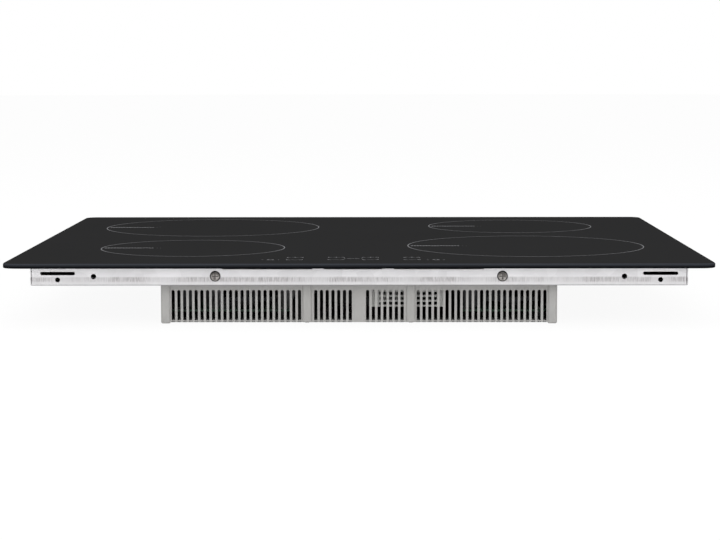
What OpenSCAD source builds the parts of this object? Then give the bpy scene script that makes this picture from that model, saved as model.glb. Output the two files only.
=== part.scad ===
// Built-in induction hob with four round zones and a small cooling blower under it.
// Millimetres. Origin at the bottom centre, +X to the right, +Y to the rear, +Z up.
// The feet of the plastic housing stand at height zero, and the glass is on top.

/* [Glass] */
// Width of the glass
glass_w = 590; // [580:1:640]
// Depth of the glass
glass_d = 520; // [512:1:560]
// Thickness of the glass
glass_t = 4; // [3:0.5:6]
// Corner radius of the glass, seen from above
glass_corner_r = 12; // [6:1:30]
// Bevel round the upper edge of the glass
glass_bevel = 0.8; // [0.3:0.1:1.4]
// Bevel round the lower edge of the glass
glass_low_bevel = 0.4; // [0.2:0.1:1]
// Width of the sealing tape under the rim
seal_w = 8; // [5:1:11]
// Thickness of the sealing tape when it is pressed
seal_t = 0.5; // [0.3:0.1:2]
// Distance from the edge of the glass to the sealing tape
seal_setback = 5; // [3:1:8]

/* [Zones] */
// Zone centres from the middle line, as a share of the glass width
zone_x_share = 0.2525; // [0.24:0.0005:0.257]
// Centre of the rear left zone behind the middle, as a share of the glass depth
rear_left_share = 0.2308; // [0.222:0.0002:0.238]
// Centre of the front left zone in front of the middle, as a share of the glass depth
front_left_share = 0.2154; // [0.193:0.0002:0.221]
// Centre of the rear right zone behind the middle, as a share of the glass depth
rear_right_share = 0.2577; // [0.241:0.0002:0.269]
// Centre of the front right zone in front of the middle, as a share of the glass depth
front_right_share = 0.176; // [0.166:0.0005:0.1805]
// Radius of the printed ring of a large zone, as a share of the glass depth
large_zone_share = 0.2035; // [0.189:0.0005:0.2055]
// Radius of the printed ring of a small zone, as a share of the glass depth
small_zone_share = 0.1569; // [0.139:0.0001:0.169]

/* [Printed marks] */
// Width of a printed ring line
ring_line = 0.95; // [0.6:0.05:2]
// Height of the print above the glass
print_t = 0.05; // [0.03:0.01:0.1]
// Length of the power scale inside a ring
scale_len = 43; // [30:1:50]
// Width of the power scale
scale_w = 1.6; // [1:0.1:3]
// Distance from the ring to the power scale
scale_inset = 2; // [1:0.5:6]
// Width of one slanted tick of the scale
tick_w = 0.8; // [0.4:0.1:1.2]
// Distance between two ticks
tick_pitch = 2.6; // [2:0.1:5]
// Diameter of a printed dot
dot_d = 1.6; // [1:0.1:2.4]
// Size of a printed key symbol
symbol_d = 6; // [4:0.5:8]
// Width of a printed symbol line
symbol_line = 0.6; // [0.4:0.1:1]

/* [Touch panel] */
// Sideways place of the touch panel's centre
ui_x = -4.8; // [-12:0.1:12]
// Touch panel's centre in front of the middle, as a share of the glass depth
ui_y_share = 0.4115; // [0.408:0.0005:0.4115]
// Distance between the two rows of keys, as a share of the touch carrier's depth
key_row_share = 0.5944; // [0.5:0.0001:0.62]
// Distance from the centre to the inner double keys
key_inner_x = 14.5; // [12:0.1:18]
// Distance from the centre to the outer double keys
key_outer_x = 49.6; // [40:0.1:56]
// Distance from the centre to the single keys at the ends
key_end_x = 69.6; // [68:0.1:80]
// Length of the plastic carrier of the touch board
ui_w = 216; // [190:1:230]
// Depth of the plastic carrier of the touch board, as a share of the glass depth
ui_d_share = 0.0692; // [0.0654:0.0001:0.0712]
// Radius of a touch contact pad
pad_r = 4; // [3:0.1:5]

/* [Tray] */
// Overhang of the glass past the tray's side walls
side_overhang = 21; // [15:0.5:27]
// Overhang of the glass past the tray's front and rear walls
front_overhang = 19; // [16:0.5:22]
// Height of the steel tray
tray_h = 16; // [15:0.5:22]
// Thickness of the steel sheet
sheet_t = 1; // [0.8:0.1:1.2]
// Bevel that stands for the fold round the bottom of the tray
fold_bevel = 0.7; // [0.3:0.1:0.75]
// Width of the open seam at the corners
corner_gap = 0.5; // [0.3:0.1:1]
// Length of the clamp slots at the ends of the wall
clamp_slot_l = 29.2; // [24:0.1:32]
// Height of the clamp slots
clamp_slot_w = 2.85; // [2:0.05:3.4]
// Distance from the tray's side wall to the middle of a clamp slot
clamp_slot_inset = 23; // [22.5:0.5:28]
// Height of the clamp slots below the glass
clamp_slot_drop = 5.9; // [5.2:0.1:6.2]
// Diameter of the small hole under each clamp slot
pilot_hole_d = 4.2; // [3:0.1:5]
// Height of the small hole below the glass
pilot_hole_drop = 11.2; // [10.5:0.1:11.5]
// Diameter of the clamp screw hole
clamp_hole_d = 4.5; // [3.5:0.1:5.5]
// Distance from the tray's side wall to the clamp screw hole
clamp_hole_inset = 53; // [46:0.5:64]
// Height of the clamp screw hole below the glass
clamp_hole_drop = 8.4; // [7:0.1:10]
// Width of the middle notch in the top edge of the front wall
mid_notch_w = 49; // [40:1:55]
// Width of the notches on both sides of it
side_notch_w = 75; // [60:1:78]
// Distance from the middle notch to the side notches, centre to centre
side_notch_x = 71.5; // [70:0.5:74]
// Depth of the notches
notch_h = 2.5; // [1.5:0.1:3.5]

/* [Glass brackets] */
// Place of the front and rear bracket screws from the middle line
bracket_screw_x = 119.6; // [118:0.1:140]
// Height of the bracket screws below the glass
bracket_screw_drop = 8.2; // [7:0.1:10]
// Width of a glass bracket
bracket_w = 24; // [20:1:30]
// Reach of the flange that is bonded to the glass
bracket_reach = 9; // [7:0.5:9.5]
// Thickness of the bracket sheet
bracket_t = 1.2; // [1:0.1:1.5]
// Height of a bracket
bracket_h = 12; // [11:0.5:13]
// Thickness of the silicone between bracket and glass
silicone_t = 0.8; // [0.4:0.1:1.2]

/* [Coils] */
// Distance from a zone's ring to the outer edge of its coil
coil_inset = 11; // [9:0.5:14]
// Inner radius of the windings
winding_in_r = 20; // [18:0.5:26]
// Thickness of the windings
winding_t = 3.5; // [3:0.1:4]
// Distance between neighbouring turns
turn_pitch = 3.1; // [2.6:0.1:4]
// Depth of the valley between two turns
turn_valley = 0.5; // [0.3:0.1:0.8]
// Thickness of the mica sheet
mica_t = 0.6; // [0.4:0.1:0.8]
// Thickness of the ferrite bars
ferrite_t = 4; // [3:0.1:4.5]
// Width of the ferrite bars
ferrite_w = 12; // [8:0.5:14]
// Thickness of the carrier plate under a winding
carrier_t = 1.2; // [1:0.1:1.6]
// Thickness of the carrier's rim and ribs
carrier_rib = 1.5; // [1:0.1:2]
// Radius of the guide pins
pin_r = 1.5; // [1.2:0.1:1.8]
// Outer radius of the lugs that slide on the guide pins
coil_lug_r = 5.5; // [5:0.1:6]
// Mean radius of the coil springs
spring_r = 2.5; // [2.4:0.05:2.6]
// Radius of the spring wire
spring_wire_r = 0.35; // [0.25:0.05:0.4]
// Turns of a coil spring
spring_turns = 4; // [3:0.5:5]
// Radius of a temperature sensor
sensor_r = 5.5; // [4:0.5:7]
// Thickness of the aluminium shield under the coils
shield_t = 1; // [0.8:0.1:1.5]

/* [Housing] */
// Width of the plastic housing
housing_w = 333; // [325:1:340]
// Distance from the tray's front wall back to the housing's pillars
housing_setback = 13; // [11:0.5:14]
// Room between the left power board and the housing's rear wall
rear_room = 33; // [29:1:43]
// Height of the housing with its feet
housing_h = 33.5; // [33:0.5:42]
// Thickness of the housing walls
wall_t = 2; // [1.5:0.1:2.3]
// Thickness of the housing floor
floor_t = 2; // [1.6:0.1:2.3]
// Height of the floor above the surface that the feet stand on
foot_h = 0.95; // [0.5:0.05:1.5]
// Width of a pillar
pillar_w = 8; // [7:0.1:9]
// How far the pillars stand proud of the slotted wall
pillar_proud = 1.5; // [0.5:0.1:2]
// Place of the screw pillars from the middle line
pillar_x = 43.6; // [42:0.1:46]
// Recess of the screw pillars' ends above the feet
pillar_recess = 1.6; // [1.5:0.1:2]
// Width of an air slot
slot_w = 2.8; // [2.2:0.1:3.2]
// Distance between neighbouring air slots
slot_pitch = 4.83; // [4.4:0.01:6]
// Height of the air slots
slot_h = 25.7; // [22:0.1:26]
// Height of the lower end of the air slots above the feet
slot_low = 2.5; // [2.3:0.1:3.5]
// Thickness of the bar under the air slots
slot_bar_h = 0.8; // [0.5:0.1:1]
// Width of the floor slots that break out at the front edge
floor_slot_w = 3; // [2:0.1:3.4]
// Length of these floor slots
floor_slot_l = 10; // [6:1:11]
// Radius of the mains cable entry in the rear wall
entry_r = 8; // [6:0.5:9]
// Distance from the housing's side wall to the middle of the mains cable entry
entry_inset = 44.5; // [38.5:0.5:52.5]

/* [Electronics] */
// Height of the circuit boards' posts
post_h = 4.5; // [4:0.1:6]
// Thickness of the circuit boards
board_t = 1.6; // [1.2:0.1:2]
// Width of the left power board, as a share of the room between the side walls
left_board_share = 0.304; // [0.292:0.001:0.315]
// Depth of the left power board
left_board_d = 270; // [250:1:280]
// Width of the right power board, as a share of the room between the side walls
right_board_share = 0.225; // [0.219:0.001:0.236]
// How much shorter the right power board is, to leave room for the terminals
terminal_room = 20; // [15:1:20]
// Width of the filter board, as a share of the room between the side walls
filter_board_share = 0.316; // [0.292:0.001:0.328]
// Distance from the housing's pillars back to the filter board
filter_setback = 150; // [147:1:152]
// Room between the filter board and the housing's rear plane
filter_room = 30; // [25:1:33]
// Width of a heat sink, as a share of the right power board's width
sink_share = 0.62; // [0.54:0.01:0.64]
// Length of a heat sink
sink_l = 170; // [150:1:180]
// Thickness of a heat sink's base
sink_base_t = 3.5; // [3:0.1:4]
// Thickness of a heat sink's fins
fin_t = 1.2; // [1:0.1:1.6]
// Number of fins on a heat sink
fin_count = 9; // [6:1:10]
// Height of a heat sink's fins
fin_h = 13; // [10:0.5:13.5]

/* [Blower] */
// Sideways place of the impeller's axis
blower_x = 12.5; // [11:0.1:13.5]
// Distance from the housing's pillars back to the impeller's axis
blower_setback = 78; // [76:0.5:80]
// Radius of the impeller
impeller_r = 42; // [38:0.5:43]
// Number of impeller blades
blade_count = 29; // [15:1:35]
// Width of the blower's outlet
outlet_w = 62.8; // [61:0.1:63.4]
// Growth of the scroll at each quarter turn
scroll_step = 5; // [4.6:0.1:5]
// Wall of the blower casing
scroll_wall = 1.5; // [1.2:0.1:1.8]
// Height of the blower casing with its cover
blower_h = 20.6; // [19:0.1:20.6]
// Thickness of the blower's lower cover
cover_t = 1.5; // [1.2:0.1:1.8]
// Radius of the air inlet in the lower cover
inlet_r = 30; // [26:0.5:31]
// Distance from the housing's pillars back to the finger guard
guard_setback = 12; // [10:0.5:14]
// Thickness of the finger guard
guard_t = 1.6; // [1.2:0.1:2]
// Length of the slots in the finger guard
guard_slot_l = 49; // [40:0.5:52]
// Height of the slots in the finger guard
guard_slot_h = 2.6; // [2:0.1:3]
// Distance between the slots in the finger guard
guard_slot_pitch = 4.2; // [3.6:0.1:4.5]
// Radius of the blower's shaft
shaft_r = 1.5; // [1.2:0.1:1.8]

/* [Fasteners] */
// Radius of the cross-head screws in the tray walls
tray_screw_head_r = 4.5; // [4:0.1:5]
// Height of these screw heads
tray_screw_head_h = 2.4; // [2:0.1:3]
// Shank radius of these screws
tray_screw_r = 1.9; // [1.5:0.1:2]
// Head radius of the housing screws
housing_screw_head_r = 3.2; // [2.8:0.1:3.4]
// Shank radius of the housing screws
housing_screw_r = 1.5; // [1.2:0.1:1.6]
// Head radius of the small inner screws
small_screw_head_r = 2.4; // [2:0.1:2.6]
// Shank radius of the small inner screws
small_screw_r = 1.2; // [1:0.1:1.3]

/* [Hidden] */
$fn = 64;

// Overrun of every cut past the face that it goes through
cut = 1;
// Clearance between two pieces that are pressed or screwed together
snug = 0.05;
// Clearance of a piece that slides or turns on another
running = 0.05;
// Clearance of a piece that lies loosely in another
loose = 0.3;

// Heights that follow from the stack of housing, tray and glass
glass_z = housing_h + tray_h;
top_z = glass_z + glass_t;
tray_floor_z = housing_h + sheet_t;
shield_z = tray_floor_z + shield_t;
winding_z = glass_z - mica_t - winding_t;
plate_z = winding_z - carrier_t;
ferrite_z = plate_z - ferrite_t;
// Plastic left under the ferrite bars
carrier_skirt = 0.5;
skirt_z = ferrite_z - carrier_skirt;

// Plan of the glass, the zones and the tray
zone_x = zone_x_share * glass_w;
rear_left_y = rear_left_share * glass_d;
front_left_y = -front_left_share * glass_d;
rear_right_y = rear_right_share * glass_d;
front_right_y = -front_right_share * glass_d;
large_zone_r = large_zone_share * glass_d;
small_zone_r = small_zone_share * glass_d;
tray_w = glass_w - 2 * side_overhang;
tray_d = glass_d - 2 * front_overhang;
clamp_slot_x = tray_w / 2 - clamp_slot_inset;
clamp_hole_x = tray_w / 2 - clamp_hole_inset;

// The four coils: place, radius of the winding and number of ferrite bars
large_coil_r = large_zone_r - coil_inset;
small_coil_r = small_zone_r - coil_inset;
large_bars = 8;
small_bars = 6;
rear_left = [-zone_x, rear_left_y, 0];
front_left = [-zone_x, front_left_y, 0];
rear_right = [zone_x, rear_right_y, 0];
front_right = [zone_x, front_right_y, 0];

// Rim of a carrier past its winding, and the lugs outside the rim
carrier_rim = 3;
lug_overlap = 1;
lug_angles = [90, 210, 330];
spring_seat_gap = 0.1;
spring_pocket_wall = 2.2;
spring_low = shield_z + spring_seat_gap;
spring_high = winding_z - spring_pocket_wall - spring_seat_gap;
// Sides of the spring wire, and rings of points in one turn
spring_sides = 5;
spring_steps = 10;
pin_tip = 0.4;
mica_overhang = 2;
mica_hole_r = 8;
sensor_wire_r = 2;
hub_r = 15;
window_share = 0.26;
ferrite_gap = 0.2;
sensor_drop = 0.2;
sensor_tip_share = 0.6;

// Lean of the scale's ticks in degrees
tick_lean = 30;

// Touch keys as places from the touch panel's centre
ui_y = -ui_y_share * glass_d;
ui_d = ui_d_share * glass_d;
key_row_pitch = key_row_share * ui_d;
double_keys = [for (x = [-key_outer_x, -key_inner_x, key_inner_x, key_outer_x])
    for (s = [-1, 1]) [x, s * key_row_pitch / 2]];
end_keys = [for (x = [-key_end_x, key_end_x]) [x, -key_row_pitch / 2]];
keys = concat(double_keys, end_keys);

// Touch board and its carrier
ui_leg_r = 4;
ui_wall = 1.5;
ui_leg_h = 5.5;
ui_floor_z = tray_floor_z + ui_leg_h;
ui_floor_t = 1.5;
ui_rim_top = 2.5;
ui_board_lift = 1.5;
ui_board_z = ui_floor_z + ui_floor_t + ui_board_lift;
ui_leg_inset = 8;
display_w = 15;
display_share = 0.42;
display_d = display_share * key_row_pitch;
display_gap = 0.5;
display_inset = 17.5;
display_x = [-key_outer_x + display_inset, key_outer_x - display_inset];

// Shield plate: its distance from the touch carrier and from the tray's walls, and its screws
shield_ui_gap = 6;
shield_back_gap = 9;
shield_side_gap = 14;
shield_front_y = ui_y + ui_d / 2 + shield_ui_gap;
shield_back_y = tray_d / 2 - shield_back_gap;
shield_w = tray_w - 2 * shield_side_gap;
shield_corner_r = 6;
shield_screw_front = 4;
shield_screw_back = 5;
shield_screw_side = 6;

// Plan of the housing, whose depth follows from the left power board
board_setback = 20;
housing_front_y = housing_setback - tray_d / 2;
housing_d = board_setback + left_board_d + rear_room + 2 * (pillar_proud + wall_t);
housing_mid_y = housing_front_y + housing_d / 2;
housing_back_y = housing_front_y + housing_d;
wall_front_y = housing_front_y + pillar_proud;
wall_back_y = housing_back_y - pillar_proud;
inner_front_y = wall_front_y + wall_t;
inner_back_y = wall_back_y - wall_t;
inner_x = housing_w / 2 - wall_t;
floor_z = foot_h + floor_t;
end_pillar_x = (housing_w - pillar_w) / 2;
pillar_corner_r = 2;
pillar_depth = 8;
slot_margin = 0.65;
foot_bevel = 0.8;
inlet_slots = 9;
inlet_slot_w = slot_pitch;
inlet_slot_pitch = 2 * slot_pitch;

// Air slots between two pillars: how many fit, and where they are
function slot_count(a, b) = 1 + floor((b - a - pillar_w - slot_w - 2 * slot_margin) / slot_pitch);
function slot_row(a, b) = [for (i = [0 : slot_count(a, b) - 1])
    (a + b) / 2 + (i - (slot_count(a, b) - 1) / 2) * slot_pitch];
left_outer_slots = slot_row(-end_pillar_x, -pillar_x);
left_inner_slots = slot_row(-pillar_x, 0);
right_inner_slots = slot_row(0, pillar_x);
right_outer_slots = slot_row(pillar_x, end_pillar_x);
front_slots = concat(left_outer_slots, left_inner_slots, right_inner_slots, right_outer_slots);
rear_slots = concat(left_outer_slots, left_inner_slots, right_inner_slots);

// Cable entry in the rear wall
entry_x = inner_x - entry_inset;
entry_z = 15;
entry_boss = 3;
entry_boss_l = 4;

// Circuit boards as corner, width and depth in plan
board_z = floor_z + post_h;
board_top = board_z + board_t;
board_edge = 5;
left_board_w = left_board_share * 2 * inner_x;
right_board_w = right_board_share * 2 * inner_x;
filter_board_w = filter_board_share * 2 * inner_x;
board_front_y = inner_front_y + board_setback;
filter_board_y = housing_front_y + filter_setback;
filter_board_d = housing_d - filter_setback - filter_room;
right_board_d = left_board_d - terminal_room;
left_board = [-inner_x + board_edge, board_front_y, left_board_w, left_board_d];
right_board = [inner_x - board_edge - right_board_w, board_front_y, right_board_w, right_board_d];
filter_board_at = [-filter_board_w / 2, filter_board_y, filter_board_w, filter_board_d];
post_r = 3.2;
post_inset = 6;
post_drill = 2.5;

// Heat sinks and what sits under and beside them
transistor_w = 16;
transistor_l = 21;
transistor_t = 4.8;
transistor_count = 4;
transistor_pitch = 40;
lead_w = 1.4;
lead_t = 0.7;
lead_pitch = 5.4;
lead_l = 5;
sink_z = board_top + transistor_t;
sink_w = sink_share * right_board_w;
left_sink_inset = 14;
right_sink_inset = 5;
left_sink_x = left_board[0] + left_board[2] - sink_w / 2 - left_sink_inset;
right_sink_x = right_board[0] + right_board[2] - sink_w / 2 - right_sink_inset;
sink_setback = 130;
sink_y = housing_front_y + sink_setback;
cap_w = 13;
cap_l = 32;
cap_h = 19;
cap_bevel = 1;
cap_corner_r = 1.5;
cap_x = 10;
cap_inset = 36;
cap_count = 5;
choke_r = 17;
choke_in_r = 8;
choke_h = 13;
choke_turns = 14;
choke_wire_r = 1.1;
choke_base_h = 2;
choke_base_rim = 1;
choke_inset = 26;
relay_w = 16;
relay_l = 20;
relay_h = 16;
relay_gap = 8;
relay_inset_x = 14;
relay_inset_y = 55;
terminal_w = 52;
terminal_d = 20;
terminal_h = 15;
terminal_ways = 5;
terminal_screw_r = 3;
terminal_setback = 29;
terminal_y = housing_back_y - terminal_setback;

// Blower: scroll made of quarter circles whose radius grows by one step each
scroll_r3 = outlet_w - scroll_step;
scroll_r2 = scroll_r3 - scroll_step;
scroll_r1 = scroll_r2 - scroll_step;
scroll_half = scroll_step / 2;
blower_y = housing_front_y + blower_setback;
guard_front_y = housing_front_y + guard_setback;
outlet_front_y = guard_front_y + guard_t;
blower_z = housing_h - blower_h - snug;
casing_z = blower_z + cover_t;
casing_top = housing_h - snug;
casing_h = casing_top - casing_z;
rotor_gap = 1.5;
impeller_z = casing_z + rotor_gap;
impeller_top = casing_top - scroll_wall - rotor_gap;
impeller_disc_t = 1.2;
blade_t = 1;
blade_reach = 11;
blade_in_r = impeller_r - blade_reach;
blade_sweep = 35;
tie_ring_w = 2.5;
hub_wall = 1.5;
hub_cup_r = 16;
magnet_t = 1.6;
stator_r = hub_cup_r - hub_wall - magnet_t - rotor_gap / 2;
stator_poles = 6;
stator_core_r = 7;
stator_lift = 5;
stator_low = impeller_z + stator_lift;
stator_h = 7;
bearing_r = 3.6;
bearing_h = 2.6;
bearing_tube_wall = 1.4;
bearing_lift = 3.4;
bearing_low = impeller_z + bearing_lift;
shaft_tip = 0.6;
blower_lug_r = 4.6;
blower_lug_h = 6;
blower_lug_off = 7.5;
blower_neck_w = 6;

guard_slot_low = 2.8;
guard_slots = 3;

// Places of the three blower lugs: in front of the scroll, behind it to the left and to the right
blower_lugs = [
    [blower_x - scroll_half - blower_lug_off, outlet_front_y + 2 * blower_lug_r],
    [blower_x + scroll_half - (scroll_r2 + blower_lug_off) * sqrt(1 / 2),
        blower_y + scroll_half + (scroll_r2 + blower_lug_off) * sqrt(1 / 2)],
    [blower_x + scroll_half + (scroll_r3 + blower_lug_off) * sqrt(1 / 2),
        blower_y - scroll_half + (scroll_r3 + blower_lug_off) * sqrt(1 / 2)]
];

// Screws
recess_w = 1.1;
recess_share = 0.62;
recess_depth_share = 0.6;
tray_screw_l = 6;
small_screw_head_h = 1.6;
housing_screw_head_h = 1.5;

// Side brackets sit on the middle of the tray's side walls
side_bracket_y = 0;
bracket_shift = 8;

// A rectangle with round corners, centred
module rounded(w, d, r) {
    square([w - 2 * r, d], center = true);
    square([w, d - 2 * r], center = true);
    for (x = [-1, 1])
        for (y = [-1, 1])
            translate([x * (w / 2 - r), y * (d / 2 - r)]) circle(r);
}

// A slot with round ends, centred, along X
module stadium(l, w) {
    square([l - w, w], center = true);
    for (s = [-1, 1]) translate([s * (l - w) / 2, 0]) circle(d = w);
}

// Cross-section that cuts a bevel c off an edge at the origin
module bevel_section(c) {
    polygon([[-c, 0], [0, -c], [cut, -c], [cut, cut], [-c, cut]]);
}

// Cutter for a bevel round the top edge, at height zero, of a plate with round corners
module bevel_cutter(w, d, r, c) {
    for (s = [0, 1]) mirror([s, 0, 0]) {
        translate([w / 2, 0, 0]) rotate([90, 0, 0])
            linear_extrude(d - 2 * r, center = true) bevel_section(c);
        for (t = [0, 1]) mirror([0, t, 0])
            translate([w / 2 - r, d / 2 - r, 0]) rotate_extrude(angle = 90)
                translate([r, 0]) bevel_section(c);
    }
    for (s = [0, 1]) mirror([0, s, 0])
        translate([0, d / 2, 0]) rotate([0, 0, 90]) rotate([90, 0, 0])
            linear_extrude(w - 2 * r, center = true) bevel_section(c);
}

// A screw whose head stands on height zero, with a cross recess, and whose shank goes down
module cross_screw(head_r, head_h, shank_r, shank_l) {
    dome_r = (head_r * head_r + head_h * head_h) / (2 * head_h);
    difference() {
        intersection() {
            translate([0, 0, head_h - dome_r]) sphere(dome_r);
            cylinder(r = head_r, h = head_h);
        }
        for (a = [0, 90]) rotate([0, 0, a])
            translate([-head_r * recess_share, -recess_w / 2, head_h * (1 - recess_depth_share)])
                cube([2 * head_r * recess_share, recess_w, head_h]);
    }
    translate([0, 0, -shank_l]) cylinder(r = shank_r, h = shank_l);
}

module glass_plate() {
    color("#2d2d2f")
    difference() {
        translate([0, 0, glass_z]) linear_extrude(glass_t) rounded(glass_w, glass_d, glass_corner_r);
        translate([0, 0, top_z]) bevel_cutter(glass_w, glass_d, glass_corner_r, glass_bevel);
        translate([0, 0, glass_z]) mirror([0, 0, 1])
            bevel_cutter(glass_w, glass_d, glass_corner_r, glass_low_bevel);
    }
}

// Thin ring printed round a zone, with its power scale at the left
module zone_mark(r) {
    linear_extrude(print_t) difference() {
        circle(r + ring_line / 2);
        circle(r - ring_line / 2);
    }
    for (x = [0 : tick_pitch : scale_len])
        translate([-r + ring_line + scale_inset + x, 0, 0]) linear_extrude(print_t)
            rotate(-tick_lean) square([tick_w, scale_w], center = true);
    for (i = [1, 2]) translate([-r + ring_line + scale_inset + scale_len + i * 2 * dot_d, 0, 0])
        linear_extrude(print_t) circle(d = dot_d / 2);
}

// Key symbols: a plus, a minus or a ring, as on any touch panel
module plus_mark() {
    linear_extrude(print_t) {
        square([symbol_d, symbol_line], center = true);
        square([symbol_line, symbol_d], center = true);
    }
}

module minus_mark() {
    linear_extrude(print_t) square([symbol_d, symbol_line], center = true);
}

module ring_mark() {
    linear_extrude(print_t) difference() {
        circle(d = symbol_d);
        circle(d = symbol_d - 2 * symbol_line);
    }
}

module printed_marks() {
    color("#9a9a9c") translate([0, 0, top_z]) {
        translate(rear_left) zone_mark(large_zone_r);
        translate(front_left) zone_mark(small_zone_r);
        translate(rear_right) zone_mark(small_zone_r);
        translate(front_right) zone_mark(large_zone_r);
        translate([ui_x, ui_y, 0]) {
            for (k = double_keys) translate([k[0], k[1], 0])
                if (k[1] > 0) plus_mark();
                else minus_mark();
            for (k = end_keys) translate([k[0], k[1], 0]) ring_mark();
            for (i = [-1, 0, 1]) translate([i * 2 * dot_d, 0, 0]) linear_extrude(print_t) circle(d = dot_d);
        }
    }
}

module seal_tape() {
    inset = 2 * seal_setback;
    inner = inset + 2 * seal_w;
    color("#1c1c1d") translate([0, 0, glass_z - seal_t]) linear_extrude(seal_t) difference() {
        rounded(glass_w - inset, glass_d - inset, glass_corner_r);
        square([glass_w - inner, glass_d - inner], center = true);
    }
}

// Places of the glass brackets: along the wall, and the turn that faces the wall outward
module at_brackets() {
    for (a = [0, 180]) rotate([0, 0, a]) for (s = [-1, 1])
        translate([s * bracket_screw_x, -tray_d / 2, 0]) mirror([s < 0 ? 0 : 1, 0, 0]) children();
    for (a = [90, 270]) rotate([0, 0, a])
        translate([side_bracket_y, -tray_w / 2, 0]) children();
}

module silicone_pads() {
    color("#3a3a3c") at_brackets()
        translate([-bracket_shift - bracket_w / 2, sheet_t + snug + bracket_t, glass_z - silicone_t])
            cube([bracket_w, bracket_reach - bracket_t, silicone_t]);
}

module glass_brackets() {
    color("#b9bcc0") at_brackets() difference() {
        translate([-bracket_shift - bracket_w / 2, sheet_t + snug, 0]) {
            translate([0, 0, glass_z - silicone_t - bracket_t]) cube([bracket_w, bracket_reach, bracket_t]);
            translate([0, 0, glass_z - silicone_t - bracket_h]) cube([bracket_w, bracket_t, bracket_h]);
        }
        translate([0, -cut, glass_z - bracket_screw_drop]) rotate([-90, 0, 0])
            cylinder(r = tray_screw_r + snug, h = bracket_reach);
    }
}

module bracket_screws() {
    color("#8d8a8a") at_brackets()
        translate([0, 0, glass_z - bracket_screw_drop]) rotate([90, 0, 0])
            cross_screw(tray_screw_head_r, tray_screw_head_h, tray_screw_r, tray_screw_l);
}

// Holes and slots of the front wall, which the rear wall repeats
module clamp_holes() {
    for (s = [-1, 1]) {
        translate([s * clamp_slot_x, 0, glass_z - clamp_slot_drop]) rotate([90, 0, 0])
            linear_extrude(sheet_t + 2 * cut, center = true) stadium(clamp_slot_l, clamp_slot_w);
        translate([s * clamp_slot_x, 0, glass_z - pilot_hole_drop]) rotate([90, 0, 0])
            cylinder(d = pilot_hole_d, h = sheet_t + 2 * cut, center = true);
        translate([s * clamp_hole_x, 0, glass_z - clamp_hole_drop]) rotate([90, 0, 0])
            cylinder(d = clamp_hole_d, h = sheet_t + 2 * cut, center = true);
        translate([s * (tray_w / 2 - sheet_t - corner_gap / 2), 0, tray_floor_z + tray_h / 2])
            cube([corner_gap, sheet_t + 2 * cut, tray_h], center = true);
    }
}

module tray() {
    window_w = housing_w - 4 * pillar_w;
    window_back = inner_back_y - pillar_w;
    color("#cfcfd2") difference() {
        translate([0, 0, housing_h]) linear_extrude(tray_h) rounded(tray_w, tray_d, sheet_t);
        translate([sheet_t - tray_w / 2, sheet_t - tray_d / 2, tray_floor_z])
            cube([tray_w - 2 * sheet_t, tray_d - 2 * sheet_t, tray_h]);
        translate([0, 0, housing_h]) mirror([0, 0, 1]) bevel_cutter(tray_w, tray_d, sheet_t, fold_bevel);
        for (s = [-1, 1]) translate([0, s * (tray_d - sheet_t) / 2, 0]) clamp_holes();
        at_brackets() translate([0, -cut, glass_z - bracket_screw_drop]) rotate([-90, 0, 0])
            cylinder(r = tray_screw_r + snug, h = sheet_t + 2 * cut);
        // Notches in the top edge of the front wall
        translate([ui_x - mid_notch_w / 2, -tray_d / 2 - cut, glass_z - notch_h])
            cube([mid_notch_w, sheet_t + 2 * cut, notch_h + cut]);
        for (s = [-1, 1])
            translate([ui_x + s * side_notch_x - side_notch_w / 2, -tray_d / 2 - cut, glass_z - notch_h])
                cube([side_notch_w, sheet_t + 2 * cut, notch_h + cut]);
        // Window above the electronics, under the shield plate
        translate([-window_w / 2, shield_front_y + pillar_w, housing_h - cut])
            cube([window_w, window_back - shield_front_y - pillar_w, sheet_t + 2 * cut]);
        at_housing_screws() cylinder(r = housing_screw_r + snug, h = tray_floor_z + cut);
        at_shield_screws() cylinder(r = small_screw_r + snug, h = tray_floor_z + cut);
    }
}

// Shield plate between the coils and the electronics
module at_shield_screws() {
    for (x = [-1, 0, 1]) for (y = [shield_front_y + shield_screw_front, shield_back_y - shield_screw_back])
        translate([x * (shield_w / 2 - shield_screw_side), y, 0]) children();
}

module shield_plate() {
    depth = shield_back_y - shield_front_y;
    color("#b4b7bb") difference() {
        translate([0, shield_front_y + depth / 2, tray_floor_z])
            linear_extrude(shield_t) rounded(shield_w, depth, shield_corner_r);
        at_shield_screws() cylinder(r = small_screw_r + snug, h = top_z);
        for (c = [rear_left, front_left, rear_right, front_right])
            translate(c) cylinder(r = hub_r, h = top_z);
    }
}

module shield_screws() {
    color("#8d8a8a") at_shield_screws() translate([0, 0, shield_z])
        cross_screw(small_screw_head_r, small_screw_head_h, small_screw_r, shield_t + sheet_t);
}

// Place of the three lugs round a coil
module at_lugs(r) {
    for (a = lug_angles) rotate([0, 0, a])
        translate([r + carrier_rim + coil_lug_r - lug_overlap, 0, 0]) children();
}

module coil_pins(r) {
    at_lugs(r) translate([0, 0, shield_z]) cylinder(r = pin_r, h = winding_z - pin_tip - shield_z);
}

module guide_pins() {
    color("#9fa2a6") {
        translate(rear_left) coil_pins(large_coil_r);
        translate(front_left) coil_pins(small_coil_r);
        translate(rear_right) coil_pins(small_coil_r);
        translate(front_right) coil_pins(large_coil_r);
    }
}

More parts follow.
